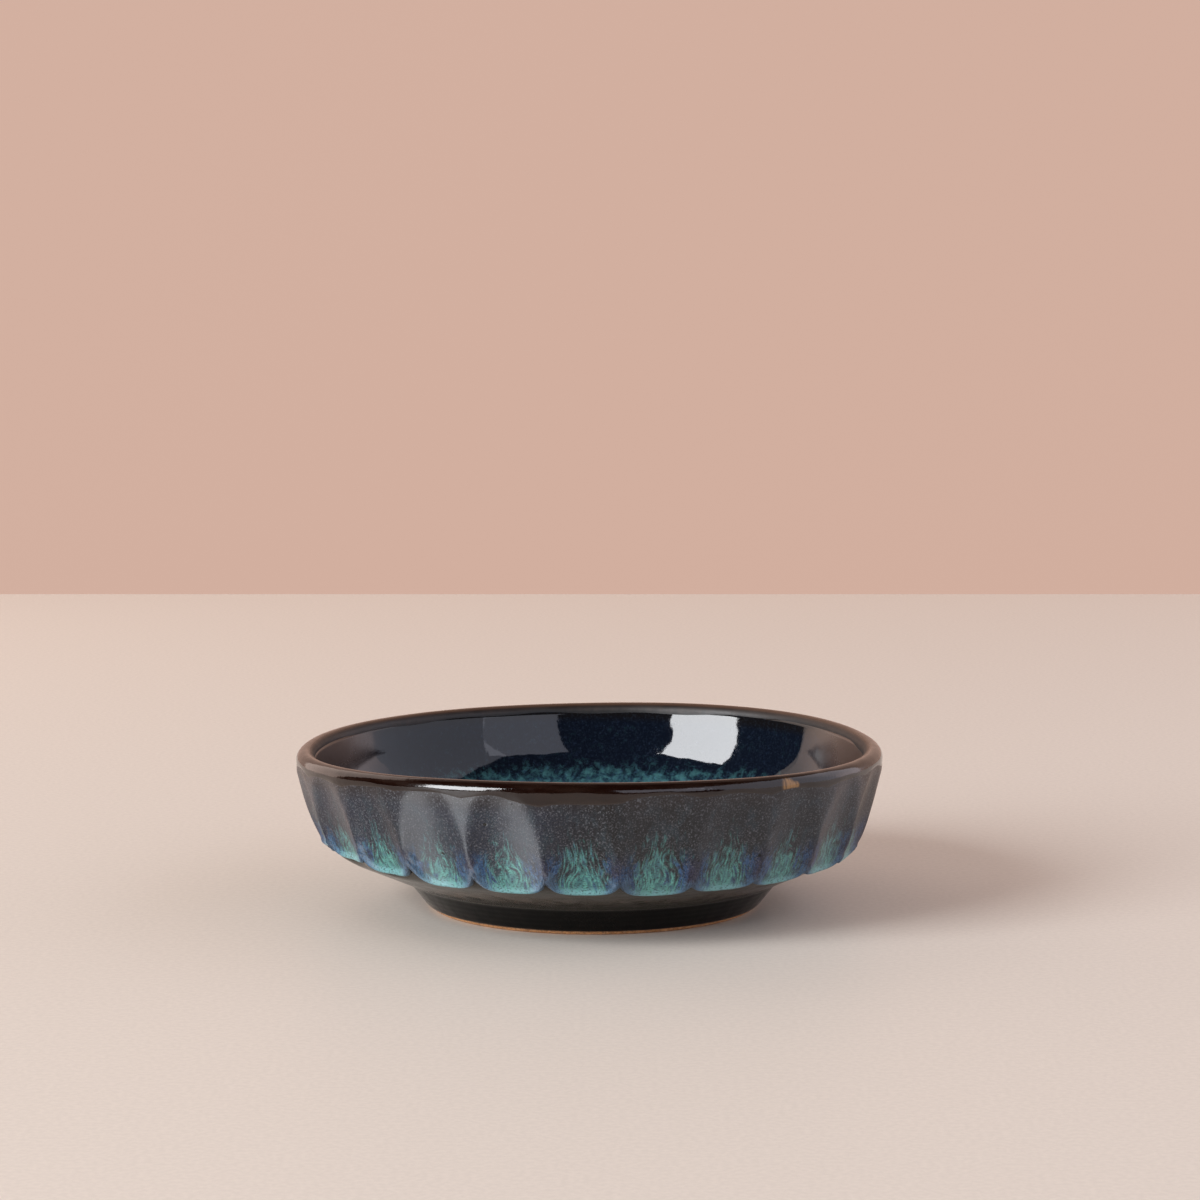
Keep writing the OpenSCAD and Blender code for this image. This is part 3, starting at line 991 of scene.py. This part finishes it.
gloss = ease(tree, plume, 0, 1, 0.47, 0.42)
gloss = sum_of(tree, "MULTIPLY_ADD", dots["Light"], -0.10, gloss)
ridge_low = sum_of(tree, "MULTIPLY", low_down, ease(tree, across, 0.55, 0.9))
gloss = sum_of(tree, "MULTIPLY_ADD", ridge_low, 0.22, gloss)
lift = use(tree, swell, Place=place, Fine=0.10)["Height"]
lift = sum_of(tree, "MULTIPLY_ADD", dots["Light"], 0.10, lift)
lift = sum_of(tree, "MULTIPLY_ADD", holes, -0.6, lift)
rough_surface(tree, shader, lift, 0.12, gloss)
join_dish(flow_coat, flow_finish, "flowing_glaze", "flute_coat")

# %% [markdown]
# ## The dark glazes and the bare clay
#
# The base coat is nearly black and very glossy, so it is told mostly by its reflections. It turns
# olive on the cone from the crease upwards, under the drips, and amber where it thins out at the
# bare line. The clay shows its sand: small dark and light grains, quite matt.

# %% Base glaze and bare clay
FOOT_BLACK, FOOT_BROWN = (0.0018, 0.0017, 0.0017), (0.0050, 0.0040, 0.0034)
OLIVE, AMBER = (0.046, 0.042, 0.035), (0.110, 0.040, 0.012)
dark_finish, tree, shader = new_finish(
    "dark_glaze", Roughness=0.14, IOR=1.5, Specular_IOR_Level=0.12)
place = own(tree, "flow")["Vector"]
edge = own(tree, "edge")["Fac"]
patchy = grain(tree, stretch(tree, place, (0.3, 0.3, 0.9)), 1.0, 4, 0.6)
colour = blend(tree, ease(tree, patchy, 0.40, 0.66), FOOT_BLACK, FOOT_BROWN)
dots = use(tree, speckle, Place=place, Scale=2.6)
colour = tinged(tree, colour, dots["Light"], 0.12, (0.05, 0.045, 0.04))
# Olive tint on the cone, from just above the crease upwards.
colour = blend(tree, ease(tree, edge, 5.0, 6.4, 0, 0.85), colour, OLIVE)
colour = blend(tree, ease(tree, edge, 0.05, 0.55, 0.9, 0), colour, AMBER)
tree.links.new(colour, shader.inputs["Base Color"])
rough_surface(tree, shader, use(tree, swell, Place=place, Fine=0.12)["Height"], 0.10,
              ease(tree, patchy, 0.35, 0.7, 0.10, 0.22))
join_dish(base_coat, dark_finish, "dark_glaze", "base_coat")

hollow_finish, tree, shader = new_finish("hollow_glaze", Roughness=0.2, IOR=1.5)
place = object_place(tree)
patchy = grain(tree, place, 0.25, 4, 0.6)
colour = blend(tree, ease(tree, patchy, 0.40, 0.66), (0.006, 0.005, 0.0045), (0.022, 0.015, 0.010))
dots = use(tree, speckle, Place=place, Scale=2.2)
colour = tinged(tree, colour, dots["Light"], 0.3, (0.07, 0.055, 0.045))
tree.links.new(colour, shader.inputs["Base Color"])
rough_surface(tree, shader, use(tree, swell, Place=place, Fine=0.15)["Height"], 0.12,
              ease(tree, patchy, 0.35, 0.7, 0.14, 0.30))
join_dish(recess_coat, hollow_finish, "dark_glaze", "recess_coat")

clay_finish, tree, shader = new_finish("bare_clay", Roughness=0.82)
place = object_place(tree)
sand = grain(tree, place, 1.6, 5, 0.7)
colour = blend(tree, ease(tree, sand, 0.35, 0.68), (0.36, 0.165, 0.065), (0.60, 0.310, 0.135))
dots = use(tree, speckle, Place=place, Scale=2.4)
colour = tinged(tree, colour, dots["Dark"], 0.6, (0.10, 0.055, 0.030))
colour = tinged(tree, colour, dots["Light"], 0.4, (0.62, 0.45, 0.30))
tree.links.new(colour, shader.inputs["Base Color"])
rough_surface(tree, shader, sand, 0.10, ease(tree, sand, 0.3, 0.7, 0.75, 0.9))
join_dish(foot_ring, clay_finish, "clay", "foot_ring")
join_dish(clay_bowl, clay_finish, "clay", "clay_bowl")

# %% [markdown]
# ## The rim glaze
#
# Iron brown, almost black where it lies thick and amber where it pulled thin over the crest. On
# the inner side of the lip it dried out in the fire and is satin instead of glossy. A few tan
# spots, where the clay's iron broke through, are placed one by one.

# %% Rim glaze
OX_BROWN, IRON_BROWN = (0.0060, 0.0014, 0.0007), (0.011, 0.0045, 0.0028)
INSIDE_BROWN, TAN = (0.0045, 0.0042, 0.0050), (0.26, 0.14, 0.05)
TAN_SPOTS = ((39.9, 2.3, 1.2), (41.7, 2.6, 0.8), (172.0, 1.2, 0.5), (-141.0, 1.8, 0.9))
rim_finish, tree, shader = new_finish("rim_glaze", Roughness=0.10, IOR=1.56)
place = own(tree, "flow")["Vector"]
crest = own(tree, "crest")["Fac"]
edge_out, edge_in = own(tree, "edge")["Fac"], own(tree, "edge_in")["Fac"]
patchy = grain(tree, stretch(tree, place, (0.16, 0.16, 0.8)), 1.0, 4, 0.6)
streak = grain(tree, stretch(tree, place, (1.4, 1.4, 0.35)), 1.0, 3, 0.6)
colour = blend(tree, ease(tree, patchy, 0.40, 0.62), OX_BROWN, IRON_BROWN)
thin = ease(tree, sum_of(tree, "ABSOLUTE", sum_of(tree, "ADD", crest, 0.5)), 0.15, 0.9, 1, 0)
colour = tinged(tree, colour, thin, 0.8, (0.075, 0.038, 0.022))
inward = ease(tree, crest, -2.6, -0.9, 1, 0)
colour = tinged(tree, colour, inward, ease(tree, streak, 0.3, 0.7), (0.030, 0.015, 0.009))
colour = blend(tree, ease(tree, edge_in, 0.0, 1.1, 1.0, 0), colour, INSIDE_BROWN)
colour = blend(tree, ease(tree, edge_out, 0.0, 0.45, 0.8, 0), colour, (0.036, 0.029, 0.026))
wobble = sum_of(tree, "MULTIPLY", ease(tree, streak, 0.3, 0.6), ease(tree, edge_out, 0.1, 0.5))
satin = ease(tree, crest, -1.4, 0.2, 0.42, 0)
for turn, down, wide in TAN_SPOTS:
    colour = tinged(tree, colour, spot_at(tree, place, turn, down, wide), wobble, TAN)
tree.links.new(colour, shader.inputs["Base Color"])
rough_surface(tree, shader, use(tree, swell, Place=place, Fine=0.16)["Height"], 0.10,
              sum_of(tree, "ADD", ease(tree, patchy, 0.35, 0.7, 0.07, 0.16), satin))
join_dish(rim_band, rim_finish, "rim_glaze", "rim_band")

# %% [markdown]
# ## The inside glazes
#
# Navy is close to black until light falls on it, and its surface is the glossiest of all, apart
# from a satin zone under the lip at either side, into which a brown reflection of the warm wall is
# painted. The well coat floats over it in small blotches, green where it is thick and blue where
# it is thin, and it fades out upwards. Both glazes use the same blotches, so no line shows where
# the coat ends.

# %% Inside glazes
blotches, entry, leave = new_group(
    "well_blotches", {"Place": ("Vector", None)}, ["Teal", "Pale"])
coarse = grain(blotches, entry["Place"], 0.62, 5, 0.72, 0.3)
small = grain(blotches, entry["Place"], 1.5, 3, 0.7)
blotches.links.new(ease(blotches, coarse, 0.34, 0.68), leave["Teal"])
blotches.links.new(ease(blotches, small, 0.50, 0.72), leave["Pale"])

MIDNIGHT, NAVY = (0.0022, 0.0042, 0.0095), (0.0050, 0.0095, 0.0200)
POOL, LAGOON, POOL_BLUE = (0.010, 0.030, 0.052), (0.044, 0.130, 0.140), (0.045, 0.110, 0.190)
REFLECTED_WALL_BROWN = (0.066, 0.038, 0.027)


def inside_glaze(name):
    """Glossy navy with teal blotches: full at the bottom of the well, none above its edge."""
    finish, tree, shader = new_finish(name, Roughness=0.05, IOR=1.5)
    place = object_place(tree)
    spots = use(tree, blotches, Place=place)
    navy = blend(tree, spots["Pale"], MIDNIGHT, NAVY)
    teal = tinged(tree, blend(tree, spots["Teal"], POOL, LAGOON), spots["Pale"], 0.5, POOL_BLUE)
    high = axis_of(tree, place, "Z")
    uneven = sum_of(tree, "SUBTRACT", spots["Teal"], 0.5)
    ragged = sum_of(tree, "MULTIPLY_ADD", uneven, 0.5, ease(tree, high, 12.5, 19.5, 1, -0.1))
    colour = blend(tree, ease(tree, ragged, 0.0, 1.0), navy, teal)
    colour = blend(tree, ease(tree, high, 24.6, 26.4), colour, INSIDE_BROWN)
    # Painted reflection: a brown reflection of the warm wall, painted into the satin zone under
    # the lip at either side.
    aside = sum_of(tree, "ABSOLUTE", axis_of(tree, place, "X"))
    satin = sum_of(tree, "MULTIPLY", ease(tree, aside, 37, 44), ease(tree, high, 18, 23))
    colour = tinged(tree, colour, satin, 0.9, REFLECTED_WALL_BROWN)
    dots = use(tree, speckle, Place=place, Scale=2.8)
    colour = tinged(tree, colour, dots["Light"], 0.10, (0.05, 0.08, 0.12))
    tree.links.new(colour, shader.inputs["Base Color"])
    lift = use(tree, swell, Place=place, Fine=0.05)["Height"]
    gloss = sum_of(tree, "MULTIPLY_ADD", satin, 0.25, ease(tree, spots["Pale"], 0, 1, 0.04, 0.08))
    rough_surface(tree, shader, lift, 0.055, gloss)
    return finish


join_dish(inner_coat, inside_glaze("navy_glaze"), "navy_glaze", "inner_coat")
join_dish(well_coat, inside_glaze("well_glaze"), "well_glaze", "well_coat")
